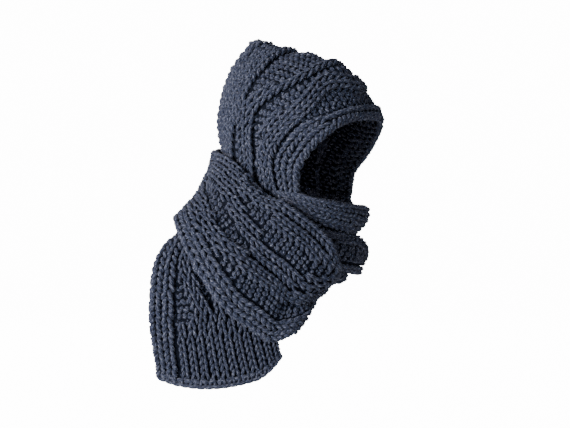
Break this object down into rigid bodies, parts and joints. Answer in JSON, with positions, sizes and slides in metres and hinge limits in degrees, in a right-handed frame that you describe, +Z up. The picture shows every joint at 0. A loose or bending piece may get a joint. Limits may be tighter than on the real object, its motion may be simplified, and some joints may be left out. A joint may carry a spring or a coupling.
{
  "type": "knitted snood hood",
  "caption": "Thick cable-knit hood whose two scarf tails wrap round the neck; open face, seam up the back, one end hanging over a shoulder.",
  "frame": {"origin": "inside of the crown, where the hood rests on the top of the head", "axes": "+Z up the head, -Y the way the face looks, -X the wearer's right side (near side in the picture)"},
  "size_m": [0.3829, 0.2781, 0.4928],
  "materials": {
    "hood_knit": "thick marled wool knit, blue-grey charcoal, matt",
    "right_tail_knit": "thick marled wool knit, blue-grey charcoal, matt",
    "left_tail_knit": "thick marled wool knit, blue-grey charcoal, matt"
  },
  "bodies": {
    "root": {"hood": "hood_knit", "right_scarf_tail": "right_tail_knit", "left_scarf_tail": "left_tail_knit"}
  },
  "joints": []
}
